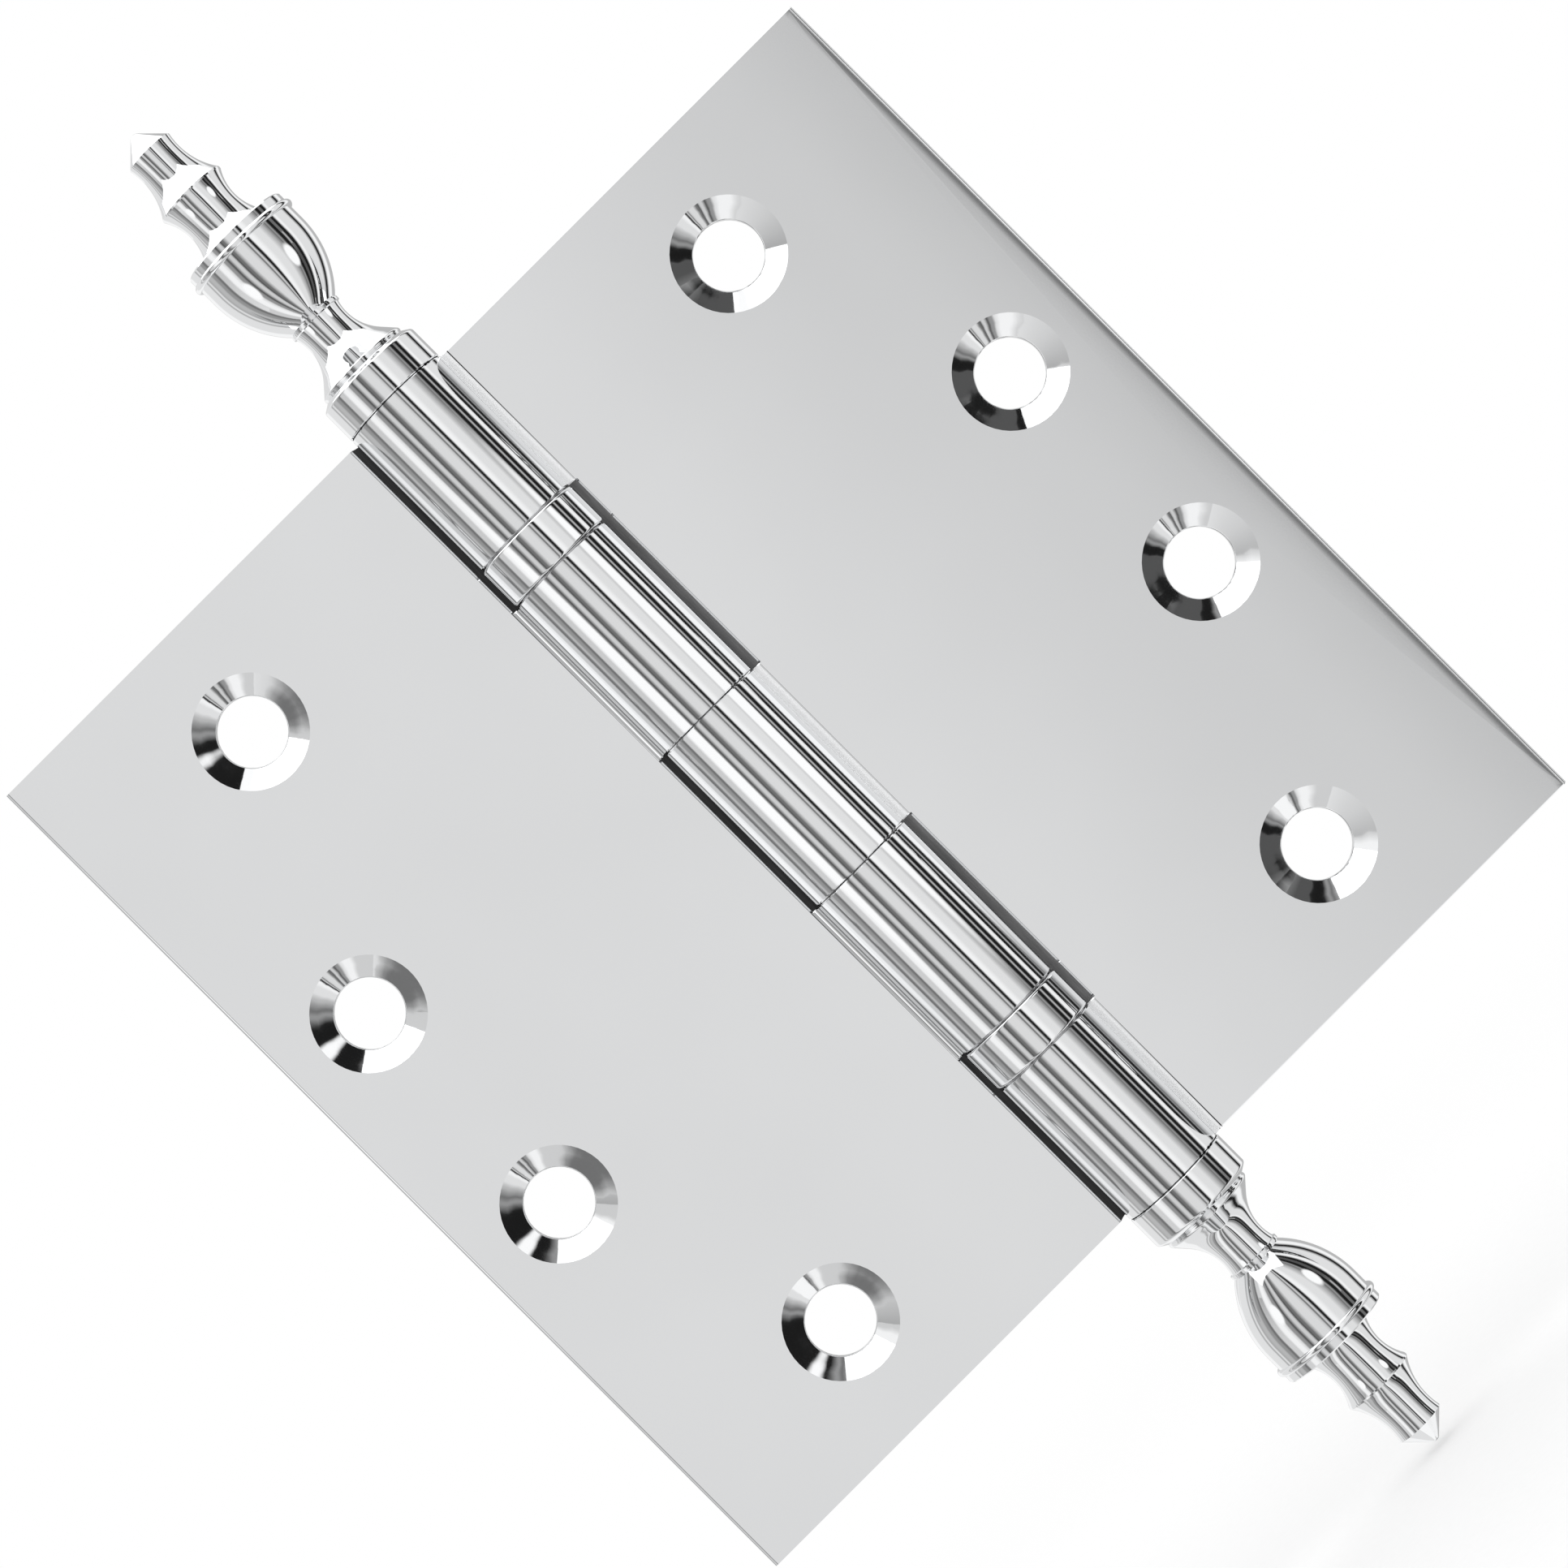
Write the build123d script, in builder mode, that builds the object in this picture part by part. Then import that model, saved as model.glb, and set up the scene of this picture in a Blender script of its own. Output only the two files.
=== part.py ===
from build123d import *
import os
from math import atan2, cos, radians, sin, sqrt, tan

# A ball bearing butt hinge, opened flat, with a turned urn finial on each end of its pin.
# Millimetres, +Z up along the pin, origin on the pin's axis at the middle of the barrel.
# The countersunk faces look along -Y, the jamb leaf reaches along +X and the door leaf along -X.

os.makedirs("parts", exist_ok=True)

# Pin and knuckles
pin_diameter = 6.4
knuckle_wall = 3.1
bore_clearance = 0.05
end_knuckle_length = 19.0
inner_knuckle_length = 21.65
middle_knuckle_length = 22.3
knuckle_gap = 0.15
knuckle_edge_break = 0.12

# Leaves
leaf_reach = 58.0
leaf_thickness = 3.4
leaf_setback = 0.8
door_leaf_relief = 0.45
jamb_notch_clearance = 1.02
door_notch_clearance = 0.82
notch_edge_break = 0.2
knuckle_blend = 1.0
outer_edge_round = 0.4

# Screw holes
screw_hole_diameter = 7.62
screw_land = 1.58
countersink_angle = 105
end_hole_inset = 13.7
end_hole_edge_distance = 22.8
inner_hole_spacing = 28.0
inner_hole_edge_distance = 10.7

# Bearings
bearing_height = 5.35
shell_proud = 0.14
shell_wall = 0.55
shell_round = 0.35
shell_end_gap = 0.15
ball_diameter = 1.588
ball_count = 8
ball_clearance = 0.03
groove_depth = 0.25
cage_thickness = 0.7
cage_clearance = 0.06
race_bore_clearance = 0.1
race_seat_clearance = 0.02
race_running_clearance = 0.1

# Finials: lengths along the pin, from the knuckle outwards
seat_groove_length = 0.1
collar_length = 4.0
collar_bevel_length = 0.68
foot_rim_length = 0.51
foot_cone_length = 1.3
flare_length = 1.8
neck_length = 3.26
neck_bead_length = 0.55
bowl_length = 8.1
bowl_lip_length = 1.76
torus_length = 0.865
torus_groove_length = 0.1
crown_rim_length = 0.9
lower_spire_length = 6.135
crest_length = 0.2
upper_spire_length = 6.08

# Finials: radii and roundings
seat_groove_depth = 0.5
collar_round = 0.4
collar_bevel_depth = 1.03
foot_rim_bulge = 0.12
foot_cone_end_radius = 4.16
flare_end_radius = 3.09
neck_end_radius = 3.0
neck_bead_radius = 3.22
neck_bead_edge_break = 0.1
bowl_foot_radius = 3.1
bowl_radius = 6.44
bowl_bulge_radius = 5.7
torus_radius = 6.86
crown_rim_radius = 6.49
crown_edge_break = 0.15
spire_foot_radius = 4.21
lower_waist_radius = 3.24
crest_radius = 4.09
upper_waist_radius = 2.8
cone_radius = 2.83
tip_round = 0.77

# Screw ends of the pin
stud_diameter = 4.0
stud_length = 7.0
stud_chamfer = 0.4
tapped_clearance = 0.05
tapped_spare_depth = 0.5

# Derived sizes of the barrel
pin_radius = pin_diameter / 2
bore_radius = pin_radius + bore_clearance
barrel_radius = bore_radius + knuckle_wall
middle_end = middle_knuckle_length / 2
bearing_inner_end = middle_end + inner_knuckle_length
bearing_outer_end = bearing_inner_end + bearing_height
barrel_end = bearing_outer_end + end_knuckle_length

# Derived sizes of the leaves and their holes
leaf_back = leaf_setback + leaf_thickness
lip_back = leaf_setback + notch_edge_break
screw_hole_radius = screw_hole_diameter / 2
countersink_radius = screw_hole_radius + (leaf_thickness - screw_land) * tan(radians(countersink_angle / 2))
end_hole_height = barrel_end - end_hole_inset
end_hole_reach = leaf_reach - end_hole_edge_distance
inner_hole_height = inner_hole_spacing / 2
inner_hole_reach = leaf_reach - inner_hole_edge_distance

# Derived sizes of the bearings
ball_radius = ball_diameter / 2
groove_radius = ball_radius + ball_clearance
bearing_middle = (bearing_inner_end + bearing_outer_end) / 2
race_length = bearing_height / 2 - groove_radius + groove_depth
shell_radius = barrel_radius + shell_proud
shell_bore = shell_radius - shell_wall
race_bore = pin_radius + race_bore_clearance
fixed_race_radius = shell_bore - race_seat_clearance
free_race_radius = shell_bore - race_running_clearance
track_radius = (race_bore + free_race_radius) / 2

# Derived sizes of the pin's screw ends
stud_radius = stud_diameter / 2
tapped_radius = stud_radius + tapped_clearance
tapped_depth = stud_length + tapped_spare_depth


def make_leaf(side, height, notches, notch_clearance):
    """A plate and its knuckles from one extruded section, with notches milled where the other leaf turns."""
    notch_radius = barrel_radius + notch_clearance
    lip_inner_reach = sqrt(notch_radius**2 - lip_back**2)
    lip_outer_reach = sqrt(notch_radius**2 - leaf_setback**2) + notch_edge_break
    outward = Axis((0, 0, 0), (side, 0, 0))
    front = Plane(origin=(0, leaf_setback, 0), x_dir=(1, 0, 0), z_dir=(0, -1, 0))
    with BuildPart() as leaf:
        with BuildSketch(Plane.XY.offset(-height / 2)) as section:
            Circle(barrel_radius)
            with Locations((side * leaf_reach / 2, (leaf_setback + leaf_back) / 2)):
                Rectangle(leaf_reach, leaf_thickness)
            corners = section.vertices().filter_by_position(Axis.Y, leaf_setback / 2, 2 * leaf_back)
            fillet(corners.group_by(outward)[:-1], knuckle_blend)
            fillet(section.vertices().group_by(outward)[-1], outer_edge_round)
        extrude(amount=height)
        for bottom, top in notches:
            with BuildSketch(Plane.XY.offset(bottom)):
                Circle(notch_radius)
            extrude(amount=top - bottom, mode=Mode.SUBTRACT)
        rims = leaf.edges().filter_by(GeomType.CIRCLE)
        knuckle_rims = rims.filter_by(lambda rim: abs(rim.radius - barrel_radius) < bore_clearance)
        chamfer(knuckle_rims, knuckle_edge_break)
        for bottom, top in notches:
            with BuildSketch(Plane.XY.offset(bottom)):
                Polygon(
                    (0, lip_back),
                    (side * lip_inner_reach, lip_back),
                    (side * lip_outer_reach, leaf_setback),
                    (side * (2 * lip_outer_reach - lip_inner_reach), leaf_setback - notch_edge_break),
                    (0, leaf_setback - notch_edge_break),
                    align=None,
                )
            extrude(amount=top - bottom, mode=Mode.SUBTRACT)
        Cylinder(bore_radius, 2 * barrel_end, mode=Mode.SUBTRACT)
        with Locations(front):
            with Locations(
                (side * end_hole_reach, end_hole_height),
                (side * end_hole_reach, -end_hole_height),
                (side * inner_hole_reach, inner_hole_height),
                (side * inner_hole_reach, -inner_hole_height),
            ):
                CounterSinkHole(screw_hole_radius, countersink_radius, counter_sink_angle=countersink_angle)
    return leaf.part


def make_finial(end):
    """A turned urn on a collar, drawn outwards from its knuckle and spun about the pin's axis."""
    drawing = Plane(origin=(0, 0, end * barrel_end), x_dir=(1, 0, 0), z_dir=(0, -end, 0))
    bevel_start = collar_length
    foot_rim_start = bevel_start + collar_bevel_length
    cone_foot_start = foot_rim_start + foot_rim_length
    flare_start = cone_foot_start + foot_cone_length
    neck_start = flare_start + flare_length
    bead_start = neck_start + neck_length
    bowl_start = bead_start + neck_bead_length
    lip_start = bowl_start + bowl_length
    torus_start = lip_start + bowl_lip_length
    groove_start = torus_start + torus_length
    crown_start = groove_start + torus_groove_length
    spire_start = crown_start + crown_rim_length
    crest_start = spire_start + lower_spire_length
    upper_start = crest_start + crest_length
    cone_start = upper_start + upper_spire_length
    foot_rim_radius = barrel_radius - collar_bevel_depth
    bevel_turn = atan2(collar_bevel_depth, collar_bevel_length)
    round_reach = collar_round * tan(bevel_turn / 2)
    round_start = bevel_start - round_reach
    round_end = bevel_start + round_reach * cos(bevel_turn)
    round_end_radius = barrel_radius - round_reach * sin(bevel_turn)
    tip_edge = tip_round * sin(radians(45))
    cone_end = cone_start + cone_radius - tip_edge
    tip = cone_end + tip_round - tip_edge
    with BuildPart() as finial:
        with BuildSketch(drawing):
            with BuildLine():
                Polyline(
                    (0, tip),
                    (0, tapped_depth),
                    (tapped_radius, tapped_depth),
                    (tapped_radius, 0),
                    (barrel_radius - seat_groove_depth, 0),
                    (barrel_radius - seat_groove_depth, seat_groove_length),
                    (barrel_radius - knuckle_edge_break, seat_groove_length),
                    (barrel_radius, seat_groove_length + knuckle_edge_break),
                    (barrel_radius, round_start),
                )
                TangentArc((barrel_radius, round_start), (round_end_radius, round_end), tangent=(0, 1))
                Line((round_end_radius, round_end), (foot_rim_radius, foot_rim_start))
                ThreePointArc(
                    (foot_rim_radius, foot_rim_start),
                    (foot_rim_radius + foot_rim_bulge, (foot_rim_start + cone_foot_start) / 2),
                    (foot_rim_radius, cone_foot_start),
                )
                foot = Line((foot_rim_radius, cone_foot_start), (foot_cone_end_radius, flare_start))
                flare = TangentArc(
                    (foot_cone_end_radius, flare_start),
                    (flare_end_radius, neck_start),
                    tangent=foot % 1,
                )
                TangentArc((flare_end_radius, neck_start), (neck_end_radius, bead_start), tangent=flare % 1)
                Polyline(
                    (neck_end_radius, bead_start),
                    (neck_bead_radius, bead_start + neck_bead_edge_break),
                    (neck_bead_radius, bowl_start - neck_bead_edge_break),
                    (bowl_foot_radius, bowl_start),
                )
                ThreePointArc(
                    (bowl_foot_radius, bowl_start),
                    (bowl_bulge_radius, bowl_start + bowl_length / 2),
                    (bowl_radius, lip_start),
                )
                Line((bowl_radius, lip_start), (bowl_radius, torus_start))
                ThreePointArc(
                    (bowl_radius, torus_start),
                    (torus_radius, (torus_start + groove_start) / 2),
                    (bowl_radius, groove_start),
                )
                Polyline(
                    (bowl_radius, groove_start),
                    (bowl_radius, crown_start),
                    (crown_rim_radius, crown_start),
                    (crown_rim_radius, spire_start - crown_edge_break),
                    (crown_rim_radius - crown_edge_break, spire_start),
                    (spire_foot_radius, spire_start),
                )
                ThreePointArc(
                    (spire_foot_radius, spire_start),
                    (lower_waist_radius, (spire_start + crest_start) / 2),
                    (crest_radius, crest_start),
                )
                Line((crest_radius, crest_start), (crest_radius, upper_start))
                ThreePointArc(
                    (crest_radius, upper_start),
                    (upper_waist_radius, (upper_start + cone_start) / 2),
                    (cone_radius, cone_start),
                )
                cone = Line((cone_radius, cone_start), (tip_edge, cone_end))
                TangentArc((tip_edge, cone_end), (0, tip), tangent=cone % 1)
            make_face()
        revolve(axis=Axis.Z)
    return finial.part


def make_pin():
    """A plain rod through the knuckles, with a screw end of smaller diameter for each finial."""
    with BuildPart() as pin:
        Cylinder(pin_radius, 2 * barrel_end)
        Cylinder(stud_radius, 2 * (barrel_end + stud_length))
        ends = pin.edges().group_by(Axis.Z)
        chamfer(ends[0] + ends[-1], stud_chamfer)
    return pin.part


def make_shell(end):
    """The bearing's outer ring, a little proud of the knuckles and just clear of them."""
    with BuildPart() as shell:
        with Locations((0, 0, end * bearing_middle)):
            Cylinder(shell_radius, bearing_height - 2 * shell_end_gap)
        fillet(shell.edges().filter_by(GeomType.CIRCLE), shell_round)
        with Locations((0, 0, end * bearing_middle)):
            Cylinder(shell_bore, bearing_height, mode=Mode.SUBTRACT)
    return shell.part


def make_race(end, outer, radius):
    """A hardened ring with a ball groove in the face towards the balls."""
    seat = bearing_outer_end - race_length / 2 if outer else bearing_inner_end + race_length / 2
    with BuildPart() as race:
        with Locations((0, 0, end * seat)):
            Cylinder(radius, race_length)
            Cylinder(race_bore, race_length, mode=Mode.SUBTRACT)
        with Locations((0, 0, end * bearing_middle)):
            Torus(track_radius, groove_radius, mode=Mode.SUBTRACT)
    return race.part


def make_cage(end):
    """A flat ring with one pocket for each ball."""
    with BuildPart() as cage:
        with Locations((0, 0, end * bearing_middle)):
            Cylinder(free_race_radius - cage_clearance, cage_thickness)
            Cylinder(race_bore + cage_clearance, cage_thickness, mode=Mode.SUBTRACT)
            with PolarLocations(track_radius, ball_count):
                Cylinder(ball_radius + cage_clearance, cage_thickness, mode=Mode.SUBTRACT)
    return cage.part


def make_balls(end):
    """The ring of loose balls in the cage's pockets."""
    with BuildPart() as balls:
        with Locations((0, 0, end * bearing_middle)):
            with PolarLocations(track_radius, ball_count):
                Sphere(ball_radius)
    return balls.part


def save(name, piece):
    """Labels a finished piece and writes it to its own file."""
    piece.label = name
    export_step(piece, f"parts/{name}.step")


# The jamb leaf carries knuckles 1, 3 and 5, and is milled away between them.
jamb_notch = (middle_end - knuckle_gap / 2, bearing_outer_end)
jamb_notches = [jamb_notch, (-jamb_notch[1], -jamb_notch[0])]
save("jamb_leaf", make_leaf(1, 2 * barrel_end, jamb_notches, jamb_notch_clearance))

# The door leaf carries knuckles 2 and 4, and is milled away at its middle and at both ends.
door_middle = middle_end + knuckle_gap / 2
door_notches = [
    (-barrel_end, -bearing_inner_end),
    (-door_middle, door_middle),
    (bearing_inner_end, barrel_end),
]
door_leaf_height = 2 * (barrel_end - door_leaf_relief)
save("door_leaf", make_leaf(-1, door_leaf_height, door_notches, door_notch_clearance))

save("hinge_pin", make_pin())
save("top_finial", make_finial(1))
save("bottom_finial", make_finial(-1))

# Each bearing's shell and outer race stay with the jamb leaf, and its inner race turns with the door leaf.
save("upper_bearing_shell", make_shell(1))
save("upper_bearing_top_race", make_race(1, True, fixed_race_radius))
save("upper_bearing_bottom_race", make_race(1, False, free_race_radius))
save("upper_bearing_cage", make_cage(1))
save("upper_bearing_balls", make_balls(1))
save("lower_bearing_shell", make_shell(-1))
save("lower_bearing_bottom_race", make_race(-1, True, fixed_race_radius))
save("lower_bearing_top_race", make_race(-1, False, free_race_radius))
save("lower_bearing_cage", make_cage(-1))
save("lower_bearing_balls", make_balls(-1))
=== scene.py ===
import math

import bmesh
import bpy
from mathutils import Matrix, Vector


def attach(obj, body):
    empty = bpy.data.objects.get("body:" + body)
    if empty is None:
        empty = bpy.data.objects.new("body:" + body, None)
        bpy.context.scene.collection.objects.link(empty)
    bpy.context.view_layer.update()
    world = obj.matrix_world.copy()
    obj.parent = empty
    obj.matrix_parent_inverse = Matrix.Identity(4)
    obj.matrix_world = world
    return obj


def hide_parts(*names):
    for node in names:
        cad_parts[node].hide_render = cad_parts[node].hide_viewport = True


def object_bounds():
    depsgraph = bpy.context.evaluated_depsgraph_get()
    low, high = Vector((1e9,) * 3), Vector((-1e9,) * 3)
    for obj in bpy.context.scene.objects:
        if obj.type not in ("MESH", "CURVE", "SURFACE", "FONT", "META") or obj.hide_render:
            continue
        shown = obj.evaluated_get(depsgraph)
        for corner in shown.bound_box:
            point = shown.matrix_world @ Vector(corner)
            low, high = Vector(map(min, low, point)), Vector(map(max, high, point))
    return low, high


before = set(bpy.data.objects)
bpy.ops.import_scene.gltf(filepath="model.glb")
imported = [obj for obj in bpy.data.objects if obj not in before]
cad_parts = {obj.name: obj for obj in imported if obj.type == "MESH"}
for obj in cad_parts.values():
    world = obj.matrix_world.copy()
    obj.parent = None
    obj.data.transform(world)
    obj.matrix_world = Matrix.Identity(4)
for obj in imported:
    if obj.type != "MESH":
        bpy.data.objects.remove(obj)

cad_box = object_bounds()

# Camera: straight on to the countersunk faces, with the pin running from upper left to lower right
PHOTO_PIXELS = 1932
SENSOR_WIDTH_MM = 36.0
FOCAL_PIXELS = 7000.0
CAMERA_PLACE = (0.00022, -0.5908, 0.00034)
CAMERA_RIGHT = Vector((1, 0, -1)).normalized()
CAMERA_UP = Vector((1, 0, 1)).normalized()
CAMERA_NEAR = 0.01

# Edges sharper than this stay sharp, and the rest of a surface is shaded as one smooth form
SHARP_ANGLE = math.radians(20)
WELD_DISTANCE = 1e-6

# Turned pieces are spun again in this many sides from the outline of their CAD form
TURN_SIDES = 192
SEAM_TOLERANCE = 1e-7

# Kinds of face on a piece, in the order of its metals
OUTSIDE, SHADED_INNER_WALL, HOLLOW_CORNER, END, RIM = range(5)

# Inner walls that plating and polish hardly reach, bare milled steel whose dark tone is painted shade, and
# the ends of the barrel's pieces
BARREL_RADIUS = 0.00635
SEAT_HEIGHT = 0.05715
SEAT_GROOVE_HEIGHT = 0.05726
NOTCH_RADII = (0.00717, 0.00737)
NOTCH_TOLERANCE = 0.00004
END_SLANT = 0.9

# Hollow corner between a knuckle and the front of its leaf: how far it reaches from the pin, and its depths
CORNER_REACH = 0.00736
CORNER_DEPTHS = (-0.0002, 0.00079)

# Screw holes: distance from the pin and height, and the burr that the countersink left at a hole's rim
SCREW_HOLES = ((0.0352, 0.04345), (0.0473, 0.014))
SCREW_RADIUS = 0.00381
SCREW_RIM_DEPTH = 0.00262
BURR = 0.00006
BURR_SIDES = 96
BURR_CORNERS = 8

# Polished outer edge of the jamb leaf: where its front falls away and how far, and where its round begins
EDGE_ROLL = ((0.0568, 0.000003), (0.05738, 0.000004))
LEAF_FRONT = 0.0008
FRONT_TOLERANCE = 0.000002
EDGE_ROUND = 0.0576
EDGE_ROUND_DEPTH = 0.00121
EDGE_SLANT = 0.999

# Metals, and their noise: the stretch of it that is spread over tone and roughness, and its detail
CHROME = (0.925, 0.932, 0.94)
# The two wall steels' dark tones are painted shade in the barrel's notches, bores and seat grooves
SHADED_MILLED_STEEL = (0.11, 0.11, 0.112)
DEEP_SHADE_STEEL = (0.042, 0.042, 0.043)
GROUND_STEEL = (0.56, 0.56, 0.57)
BRASS = (0.72, 0.5, 0.2)
NOISE_LOW = 0.3
NOISE_HIGH = 0.7
NOISE_DETAIL = 2.0

# Tones of the cards and flags that stand round the hinge
BLACK = 0.012
NEAR_BLACK = 0.09
DARK = 0.17
MID = 0.31
STONE = 0.42
GREY = 0.5
DIM = 0.58
SOFT = 0.65
PLAIN = 0.745
PALE = 0.79
BRIGHT = 0.96

# Studio cards, set so that the polished metal shows stripes like those in the photograph:
# azimuth in degrees from the camera's side towards the jamb leaf, from and to, and the tone
CARDS = [
    (-180, -172, SOFT),
    (-166, -146, BRIGHT),
    (-143, -117, PALE),
    (-113.5, -112.5, STONE),
    (-108.5, -107, PALE),
    (-103.5, -102.5, STONE),
    (-98, -92, GREY),
    (-88, -84, MID),
    (-80, -78, DARK),
    (-75, -66, SOFT),
    (-62, -55, BRIGHT),
    (-51, -50, PALE),
    (-47, -43, MID),
    (-39.5, -38.5, NEAR_BLACK),
    (-33, -28.5, SOFT),
    (-25.3, -24.7, NEAR_BLACK),
    (-22, -19.5, DARK),
    (-12, 1, PLAIN),
    (4.1, 4.7, SOFT),
    (5.5, 5.8, DIM),
    (7.7, 8.7, DARK),
    (11, 12.2, SOFT),
    (15, 18.2, BLACK),
    (21, 26, BRIGHT),
    (33, 45, PALE),
    (52, 53, GREY),
    (57, 57.5, MID),
    (60, 60.5, DARK),
    (62.5, 63.5, MID),
    (66.5, 71.8, BLACK),
    (74.5, 75.3, GREY),
    (78, 84, BLACK),
    (88, 91, BRIGHT),
    (95, 116, PALE),
    (123.5, 127.5, BLACK),
    (135, 144, BRIGHT),
    (150, 180, GREY),
]
CARD_DISTANCE = 20.0
CARD_HALF_HEIGHT = 80.0

# Flags in front of the cards: azimuth from and to, elevation from and to, and the tones at those two heights
FLAGS = [
    (72.5, 78.3, 6, 15, DARK, NEAR_BLACK),
    (72.5, 78.3, 15, 60, NEAR_BLACK, NEAR_BLACK),
    (72.5, 78.3, -6, -15, DARK, NEAR_BLACK),
    (72.5, 78.3, -15, -60, NEAR_BLACK, NEAR_BLACK),
    (-75, -66, 0, 40, SOFT, STONE),
    (-75, -66, 0, -35, SOFT, PALE),
    (-178, -147, 10, 45, PLAIN, PLAIN),
]
FLAG_DISTANCE = 19.0

# Lamps: a softbox overhead and an upright oval one on each side, with their brightness and the room's
OVERHEAD_PLACE = (0.005, -0.005, 0.225)
OVERHEAD_SIZE = (0.357, 0.284)
OVERHEAD_LEVEL = 1.05
SIDE_PLACES = ((-0.175, -0.14, 0.013), (0.183, -0.113, 0.013))
SIDE_HALF_SIZE = (0.043, 0.06)
SIDE_SOFT_EDGE = 0.35
SIDE_SIDES = 64
SIDE_LEVEL = 1.05
ROOM_LEVEL = 0.95

# Floor under the lower finial: plain and pale, fading into the white of the room
FLOOR_DROP = 0.0005
FLOOR_RADIUS = 0.45
FLOOR_FADE = (0.06, 0.3)
FLOOR_GLOW = 0.35
FLOOR_TONE = 0.9
FLOOR_CHANGE = 0.01
FLOOR_GRAIN = (900, 900, 900)
FLOOR_ROUGHNESS = 0.9
FLOOR_SIDES = 96


def new_material(name):
    """A node material with its tree and its shader."""
    material = bpy.data.materials.new(name)
    material.use_nodes = True
    tree = material.node_tree
    return material, tree, tree.nodes["Principled BSDF"]


def noise(tree, scale):
    """Noise in the piece's own coordinates; the scale is in features per metre along x, y and z."""
    place = tree.nodes.new("ShaderNodeTexCoord")
    stretch = tree.nodes.new("ShaderNodeMapping")
    stretch.inputs["Scale"].default_value = scale
    grain = tree.nodes.new("ShaderNodeTexNoise")
    grain.inputs["Scale"].default_value = 1.0
    grain.inputs["Detail"].default_value = NOISE_DETAIL
    tree.links.new(place.outputs["Object"], stretch.inputs["Vector"])
    tree.links.new(stretch.outputs["Vector"], grain.inputs["Vector"])
    return grain.outputs["Fac"]


def spread(tree, signal, low, high):
    """A noise signal spread between two values."""
    span = tree.nodes.new("ShaderNodeMapRange")
    span.inputs["From Min"].default_value = NOISE_LOW
    span.inputs["From Max"].default_value = NOISE_HIGH
    span.inputs["To Min"].default_value = low
    span.inputs["To Max"].default_value = high
    tree.links.new(signal, span.inputs["Value"])
    return span.outputs["Result"]


def tint(tree, signal, colour, change):
    """A colour that goes darker and lighter by a share of itself."""
    ramp = tree.nodes.new("ShaderNodeValToRGB")
    low, high = ramp.color_ramp.elements
    low.position, high.position = NOISE_LOW, NOISE_HIGH
    low.color = (*[c * (1 - change) for c in colour], 1)
    high.color = (*[min(c * (1 + change), 1) for c in colour], 1)
    tree.links.new(signal, ramp.inputs["Fac"])
    return ramp.outputs["Color"]


def grain_bump(tree, signal, depth):
    """Fine relief of a given depth in metres."""
    bump = tree.nodes.new("ShaderNodeBump")
    bump.inputs["Strength"].default_value = 1.0
    bump.inputs["Distance"].default_value = depth
    tree.links.new(signal, bump.inputs["Height"])
    return bump.outputs["Normal"]


def metal(name, colour, change, patches, roughness, grain, depth, edge=1.0, bare=1.0):
    """A metal with soft patches in its colour and a grain in its roughness and relief.

    Edge is its tone at a slant, and bare the share of it that no haze covers.
    """
    material, tree, shader = new_material(name)
    patch = noise(tree, patches)
    lines = noise(tree, grain)
    shader.inputs["Metallic"].default_value = bare
    shader.inputs["Specular Tint"].default_value = (edge, edge, edge, 1)
    tree.links.new(tint(tree, patch, colour, change), shader.inputs["Base Color"])
    tree.links.new(spread(tree, lines, *roughness), shader.inputs["Roughness"])
    tree.links.new(grain_bump(tree, lines, depth), shader.inputs["Normal"])
    return material


def is_end(face):
    """True for the faces that the knuckles and the bearing shells turn towards each other."""
    middle = face.calc_center_median()
    distance = math.hypot(middle.x, middle.y)
    return abs(face.normal.z) > END_SLANT and distance < BARREL_RADIUS and abs(middle.z) < SEAT_HEIGHT


def is_rim(face):
    """True for the rounded front edge of the jamb leaf's outer side."""
    middle = face.calc_center_median()
    return middle.x > EDGE_ROUND and middle.y < EDGE_ROUND_DEPTH and face.normal.x < EDGE_SLANT


def is_inner_wall(face):
    """True for the walls of the notches and bores and of the groove at a finial's seat."""
    middle = face.calc_center_median()
    distance = math.hypot(middle.x, middle.y)
    outward = middle.x * face.normal.x + middle.y * face.normal.y
    if abs(face.normal.z) > END_SLANT:
        return distance < BARREL_RADIUS and SEAT_HEIGHT <= abs(middle.z) < SEAT_GROOVE_HEIGHT
    if distance < BARREL_RADIUS:
        return outward < 0 or SEAT_HEIGHT < abs(middle.z) < SEAT_GROOVE_HEIGHT
    return outward < 0 and any(abs(distance - radius) < NOTCH_TOLERANCE for radius in NOTCH_RADII)


def is_hollow_corner(face):
    """True for the hollow corner between a knuckle and the front of its leaf."""
    middle = face.calc_center_median()
    low, high = CORNER_DEPTHS
    return low < middle.y < high and BARREL_RADIUS < abs(middle.x) < CORNER_REACH


def face_kind(face):
    """The kind of a face, which says which of its piece's metals it takes."""
    if is_end(face):
        return END
    if is_rim(face):
        return RIM
    if is_inner_wall(face):
        return SHADED_INNER_WALL
    return HOLLOW_CORNER if is_hollow_corner(face) else OUTSIDE


def welded(node):
    """A CAD node's form with its seams closed."""
    form = bmesh.new()
    form.from_mesh(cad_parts[node].data)
    bmesh.ops.remove_doubles(form, verts=form.verts, dist=WELD_DISTANCE)
    return form


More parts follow.
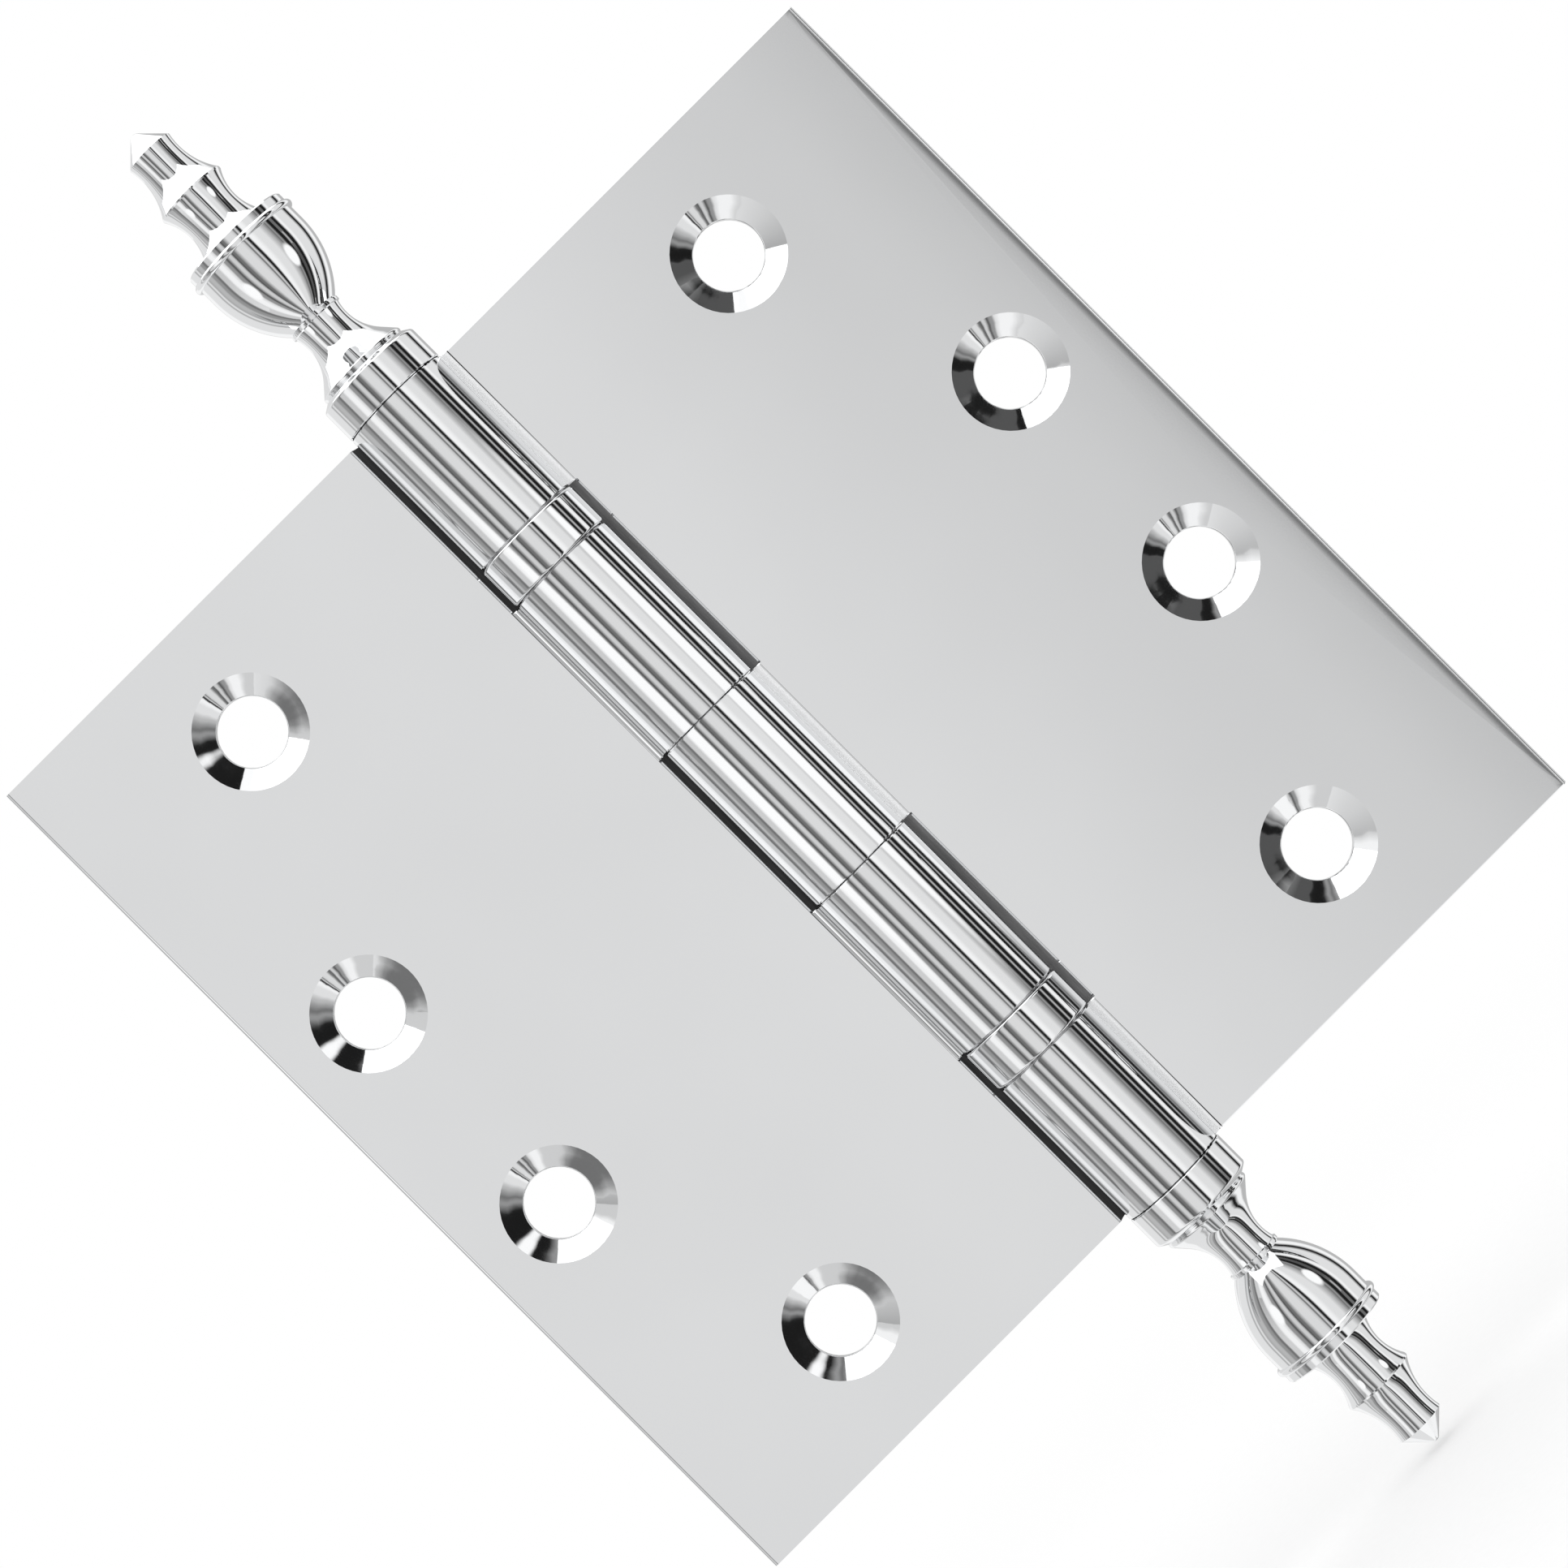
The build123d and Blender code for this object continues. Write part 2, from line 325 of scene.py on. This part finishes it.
def burr(form, centre_x, centre_z):
    """Adds a fine round burr to a leaf at the foot of one countersink."""
    rings = []
    for i in range(BURR_SIDES):
        turn = 2 * math.pi * i / BURR_SIDES
        ring = []
        for j in range(BURR_CORNERS):
            corner = 2 * math.pi * j / BURR_CORNERS
            span = SCREW_RADIUS + BURR * math.cos(corner)
            x = centre_x + span * math.cos(turn)
            z = centre_z + span * math.sin(turn)
            ring.append(form.verts.new((x, SCREW_RIM_DEPTH + BURR * math.sin(corner), z)))
        rings.append(ring)
    for i in range(BURR_SIDES):
        for j in range(BURR_CORNERS):
            form.faces.new((rings[i - 1][j - 1], rings[i - 1][j], rings[i][j], rings[i][j - 1]))


def drilled(node, side):
    """A leaf's form with the burrs of its screw holes; side is 1 for the jamb leaf, -1 for the door leaf."""
    form = welded(node)
    for x, z in SCREW_HOLES:
        burr(form, side * x, z)
        burr(form, side * x, -z)
    return form


def roll_edge(form):
    """Lets the front of the jamb leaf fall away a little towards its outer edge, as polishing leaves it."""
    for reach, _ in EDGE_ROLL:
        geometry = form.verts[:] + form.edges[:] + form.faces[:]
        bmesh.ops.bisect_plane(form, geom=geometry, plane_co=(reach, 0, 0), plane_no=(1, 0, 0))
    for vert in form.verts:
        if abs(vert.co.y - LEAF_FRONT) < FRONT_TOLERANCE:
            vert.co.y += sum(fall for reach, fall in EDGE_ROLL if vert.co.x > reach + FRONT_TOLERANCE)


def outline(node):
    """Distance from the axis and height of the points along a turned node's seam, in order."""
    form = welded(node)
    seam = [v for v in form.verts if abs(v.co.y) < SEAM_TOLERANCE and v.co.x > -SEAM_TOLERANCE]
    links = {v: [edge.other_vert(v) for edge in v.link_edges if edge.other_vert(v) in seam] for v in seam}
    ends = [v for v in seam if len(links[v]) == 1]
    walk = [max(ends or seam, key=lambda v: v.co.x)]
    while len(walk) < len(seam):
        walk.append(next(v for v in links[walk[-1]] if v not in walk))
    points = [(v.co.x, v.co.z) for v in walk]
    form.free()
    return [(0, points[0][1])] + points if ends else points + points[:1]


def spun(node):
    """A turned node's outline spun about the pin's axis."""
    form = bmesh.new()
    angles = [2 * math.pi * i / TURN_SIDES for i in range(TURN_SIDES)]
    rings = []
    for radius, height in outline(node):
        ring = [(radius * math.cos(angle), radius * math.sin(angle), height) for angle in angles]
        rings.append([form.verts.new(point) for point in ring])
    for ring, following in zip(rings, rings[1:]):
        for i in range(TURN_SIDES):
            form.faces.new((ring[i - 1], ring[i], following[i], following[i - 1]))
    bmesh.ops.remove_doubles(form, verts=form.verts, dist=WELD_DISTANCE)
    bmesh.ops.recalc_face_normals(form, faces=form.faces)
    return form


def finished(node, form, body, metals):
    """A piece in a CAD node's place, smooth between its sharp edges, with a metal for each kind of face."""
    for face in form.faces:
        face.smooth = True
        face.material_index = face_kind(face)
    for edge in form.edges:
        one_metal = len({face.material_index for face in edge.link_faces}) == 1
        edge.smooth = one_metal and edge.calc_face_angle(math.pi) < SHARP_ANGLE
    mesh = bpy.data.meshes.new(node + "_finished")
    for material in metals:
        mesh.materials.append(material)
    form.to_mesh(mesh)
    form.free()
    # The CAD mesh brings normals of its own, which would hide the smooth shading
    if "custom_normal" in mesh.attributes:
        mesh.attributes.remove(mesh.attributes["custom_normal"])
    piece = bpy.data.objects.new(node + "_finished", mesh)
    bpy.context.scene.collection.objects.link(piece)
    shading = piece.modifiers.new("even_normals", "WEIGHTED_NORMAL")
    shading.mode = "FACE_AREA_WITH_ANGLE"
    shading.keep_sharp = True
    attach(piece, body)
    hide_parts(node)


def finish_node(node, material):
    """A better material on a CAD node that is kept as it is."""
    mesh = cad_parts[node].data
    for i in range(len(mesh.materials)):
        mesh.materials[i] = material


def stage_material(name):
    """An empty material for the studio, with its tree and its output."""
    material = bpy.data.materials.new(name)
    material.use_nodes = True
    tree = material.node_tree
    tree.nodes.clear()
    return material, tree, tree.nodes.new("ShaderNodeOutputMaterial")


def only_reflected(obj):
    """Puts a piece of the studio in the scene for reflections alone."""
    bpy.context.scene.collection.objects.link(obj)
    obj.visible_camera = False
    obj.visible_diffuse = False
    obj.visible_shadow = False
    obj.visible_transmission = False


def glowing(name, verts, faces, levels):
    """Cards that glow with a level at each corner, for reflections alone."""
    mesh = bpy.data.meshes.new(name)
    mesh.from_pydata(verts, [], faces)
    mesh.attributes.new("level", "FLOAT", "POINT").data.foreach_set("value", levels)
    material, tree, output = stage_material(name)
    glow = tree.nodes.new("ShaderNodeEmission")
    level = tree.nodes.new("ShaderNodeAttribute")
    level.attribute_name = "level"
    tree.links.new(level.outputs["Fac"], glow.inputs["Color"])
    tree.links.new(glow.outputs["Emission"], output.inputs["Surface"])
    mesh.materials.append(material)
    only_reflected(bpy.data.objects.new(name, mesh))


def card_corner(azimuth, distance, height):
    """A point of a card at a height, at an azimuth in degrees and a distance from the pin."""
    angle = math.radians(azimuth)
    return distance * math.sin(angle), -distance * math.cos(angle), height


def card_ring():
    """A ring of tall cards round the hinge, where the tone runs evenly from each card to the next."""
    verts, faces, levels = [], [], []
    for start, end, level in CARDS:
        for azimuth in (start, end):
            for height in (-CARD_HALF_HEIGHT, CARD_HALF_HEIGHT):
                verts.append(card_corner(azimuth, CARD_DISTANCE, height))
            levels += [level, level]
    for i in range(0, len(verts) - 2, 2):
        faces.append((i, i + 2, i + 3, i + 1))
    glowing("studio_cards", verts, faces, levels)


def flags():
    """Flags that change the tone of some cards above or below eye level."""
    verts, faces, levels = [], [], []
    for start, end, low, high, low_level, high_level in FLAGS:
        first = len(verts)
        for azimuth in (start, end):
            for elevation, level in ((low, low_level), (high, high_level)):
                height = FLAG_DISTANCE * math.tan(math.radians(elevation))
                verts.append(card_corner(azimuth, FLAG_DISTANCE, height))
                levels.append(level)
        faces.append((first, first + 2, first + 3, first + 1))
    glowing("studio_flags", verts, faces, levels)


def round_mesh(name, sides, radius):
    """A flat round mesh."""
    form = bmesh.new()
    bmesh.ops.create_circle(form, cap_ends=True, segments=sides, radius=radius)
    mesh = bpy.data.meshes.new(name)
    form.to_mesh(mesh)
    form.free()
    return mesh


def distance_fade(tree, start, end, low):
    """A signal that goes smoothly from low to 1 between two distances from the middle of a piece."""
    place = tree.nodes.new("ShaderNodeTexCoord")
    reach = tree.nodes.new("ShaderNodeVectorMath")
    reach.operation = "LENGTH"
    fade = tree.nodes.new("ShaderNodeMapRange")
    fade.interpolation_type = "SMOOTHSTEP"
    fade.inputs["From Min"].default_value = start
    fade.inputs["From Max"].default_value = end
    fade.inputs["To Min"].default_value = low
    tree.links.new(place.outputs["Object"], reach.inputs[0])
    tree.links.new(reach.outputs["Value"], fade.inputs["Value"])
    return fade.outputs["Result"]


def mixed(tree, share, first, second, output):
    """Gives a material's output the first shader, with a share of the second."""
    mix = tree.nodes.new("ShaderNodeMixShader")
    tree.links.new(share, mix.inputs["Fac"])
    tree.links.new(first, mix.inputs[1])
    tree.links.new(second, mix.inputs[2])
    tree.links.new(mix.outputs["Shader"], output.inputs["Surface"])


def side_softbox(place):
    """An oval lamp with a soft edge that faces the hinge, for reflections alone."""
    mesh = round_mesh("side_softbox", SIDE_SIDES, 1)
    material, tree, output = stage_material("side_softbox")
    glow = tree.nodes.new("ShaderNodeEmission")
    glow.inputs["Strength"].default_value = SIDE_LEVEL
    clear = tree.nodes.new("ShaderNodeBsdfTransparent")
    fade = distance_fade(tree, 1 - SIDE_SOFT_EDGE, 1, 0)
    mixed(tree, fade, glow.outputs["Emission"], clear.outputs["BSDF"], output)
    mesh.materials.append(material)
    lamp = bpy.data.objects.new("side_softbox", mesh)
    lamp.location = place
    lamp.rotation_euler = Vector(place).to_track_quat("Z", "Y").to_euler()
    lamp.scale = (*SIDE_HALF_SIZE, 1)
    only_reflected(lamp)


def overhead_softbox():
    """A soft rectangular lamp above the hinge that shines straight down."""
    data = bpy.data.lights.new("overhead_softbox", "AREA")
    data.shape = "RECTANGLE"
    data.size, data.size_y = OVERHEAD_SIZE
    # A lamp's face is as bright as its power, divided by its area and by pi
    data.energy = math.pi * data.size * data.size_y * OVERHEAD_LEVEL
    lamp = bpy.data.objects.new("overhead_softbox", data)
    lamp.location = OVERHEAD_PLACE
    lamp.visible_camera = False
    bpy.context.scene.collection.objects.link(lamp)


def room():
    """A white room for the camera and for the metal, which lights the object at a plain level."""
    world = bpy.data.worlds.new("room")
    bpy.context.scene.world = world
    world.use_nodes = True
    tree = world.node_tree
    wall = tree.nodes["Background"]
    wall.inputs["Color"].default_value = (1, 1, 1, 1)
    rays = tree.nodes.new("ShaderNodeLightPath")
    seen = rays.outputs["Is Camera Ray"]
    for kind in ("Is Glossy Ray", "Is Transmission Ray"):
        either = tree.nodes.new("ShaderNodeMath")
        either.operation = "MAXIMUM"
        tree.links.new(seen, either.inputs[0])
        tree.links.new(rays.outputs[kind], either.inputs[1])
        seen = either.outputs["Value"]
    strength = tree.nodes.new("ShaderNodeMapRange")
    strength.inputs["To Min"].default_value = ROOM_LEVEL
    strength.inputs["To Max"].default_value = 1
    tree.links.new(seen, strength.inputs["Value"])
    tree.links.new(strength.outputs["Result"], wall.inputs["Strength"])


def floor():
    """A pale round floor under the hinge that holds its shadow and fades out into the white room."""
    mesh = round_mesh("floor", FLOOR_SIDES, FLOOR_RADIUS)
    disc = bpy.data.objects.new("floor", mesh)
    disc.location = (0, 0, cad_box[0][2] - FLOOR_DROP)
    bpy.context.scene.collection.objects.link(disc)
    material, tree, shader = new_material("floor")
    shader.inputs["Roughness"].default_value = FLOOR_ROUGHNESS
    paper = tint(tree, noise(tree, FLOOR_GRAIN), (FLOOR_TONE,) * 3, FLOOR_CHANGE)
    tree.links.new(paper, shader.inputs["Base Color"])
    white = tree.nodes.new("ShaderNodeEmission")
    fade = distance_fade(tree, *FLOOR_FADE, FLOOR_GLOW)
    output = tree.nodes["Material Output"]
    mixed(tree, fade, shader.outputs["BSDF"], white.outputs["Emission"], output)
    mesh.materials.append(material)
    disc.visible_glossy = False


def studio():
    """Room, floor, cards, flags and lamps."""
    room()
    floor()
    card_ring()
    flags()
    overhead_softbox()
    for place in SIDE_PLACES:
        side_softbox(place)


def camera():
    """The photograph's view."""
    data = bpy.data.cameras.new("photo_camera")
    data.sensor_width = SENSOR_WIDTH_MM
    data.lens = SENSOR_WIDTH_MM * FOCAL_PIXELS / PHOTO_PIXELS
    data.clip_start = CAMERA_NEAR
    place = bpy.data.objects.new("photo_camera", data)
    back = CAMERA_RIGHT.cross(CAMERA_UP)
    turn = Matrix((CAMERA_RIGHT, CAMERA_UP, back)).transposed()
    place.matrix_world = Matrix.Translation(CAMERA_PLACE) @ turn.to_4x4()
    bpy.context.scene.collection.objects.link(place)
    bpy.context.scene.camera = place


# Plating: a very fine even grain on the leaves, and faint turning lines on the turned pieces
leaf_plate = metal(
    "leaf_plate", CHROME, change=0.012, patches=(40, 40, 40),
    roughness=(0.04, 0.06), grain=(5000, 5000, 5000), depth=2e-7,
)
turned_plate = metal(
    "turned_plate", CHROME, change=0.01, patches=(60, 60, 60),
    roughness=(0.03, 0.06), grain=(300, 300, 9000), depth=2e-7,
)

# Plating with a thinner polish: hazy in the jamb leaf's hollow corners, a little duller on its outer rim
corner_plate = metal(
    "corner_plate", CHROME, change=0.02, patches=(80, 80, 80),
    roughness=(0.34, 0.44), grain=(4000, 4000, 4000), depth=1e-6, bare=0.3,
)
rim_plate = metal(
    "rim_plate", CHROME, change=0.04, patches=(80, 80, 80),
    roughness=(0.12, 0.2), grain=(4000, 4000, 4000), depth=1e-6,
)

# Walls and ends inside the barrel, with the marks of milling and grinding; the walls' dark tone is painted
# shade
shaded_milled_wall = metal(
    "shaded_milled_wall", SHADED_MILLED_STEEL, change=0.25, patches=(400, 400, 150),
    roughness=(0.35, 0.5), grain=(9000, 9000, 400), depth=4e-6,
)
# A darker copy of the wall metal, dimmed further at a slant: deeper painted shade
deep_shade_wall = metal(
    "deep_shade_wall", DEEP_SHADE_STEEL, change=0.25, patches=(400, 400, 150),
    roughness=(0.35, 0.5), grain=(9000, 9000, 400), depth=4e-6, edge=0.6,
)
end_face = metal(
    "end_face", GROUND_STEEL, change=0.06, patches=(300, 300, 300),
    roughness=(0.2, 0.3), grain=(6000, 6000, 6000), depth=1e-6,
)

# Pin and bearings
ground_steel = metal(
    "ground_steel", GROUND_STEEL, change=0.06, patches=(200, 200, 200),
    roughness=(0.14, 0.26), grain=(700, 700, 12000), depth=1e-6,
)
satin_brass = metal(
    "satin_brass", BRASS, change=0.1, patches=(300, 300, 300),
    roughness=(0.24, 0.4), grain=(4000, 4000, 4000), depth=2e-6,
)

# Leaves
jamb = drilled("jamb_leaf", 1)
roll_edge(jamb)
jamb_metals = (leaf_plate, shaded_milled_wall, corner_plate, end_face, rim_plate)
finished("jamb_leaf", jamb, "jamb_side", jamb_metals)
door = drilled("door_leaf", -1)
# The door leaf's notch walls take the darker wall metal, as deeper painted shade in its gaps
door_metals = (leaf_plate, deep_shade_wall, leaf_plate, end_face)
finished("door_leaf", door, "door_side", door_metals)

# Finials and bearing shells
# The turned pieces' bores and seat grooves take the darker wall metal, as painted shade
turned_metals = (turned_plate, deep_shade_wall, turned_plate, end_face)
for node in ("top_finial", "bottom_finial", "upper_bearing_shell", "lower_bearing_shell"):
    finished(node, spun(node), "jamb_side", turned_metals)

# Pieces inside the barrel
finish_node("hinge_pin", ground_steel)
for level in ("upper", "lower"):
    for name in ("top_race", "bottom_race", "balls"):
        finish_node(f"{level}_bearing_{name}", ground_steel)
    finish_node(f"{level}_bearing_cage", satin_brass)

studio()
camera()
bpy.context.scene.view_settings.view_transform = "Standard"
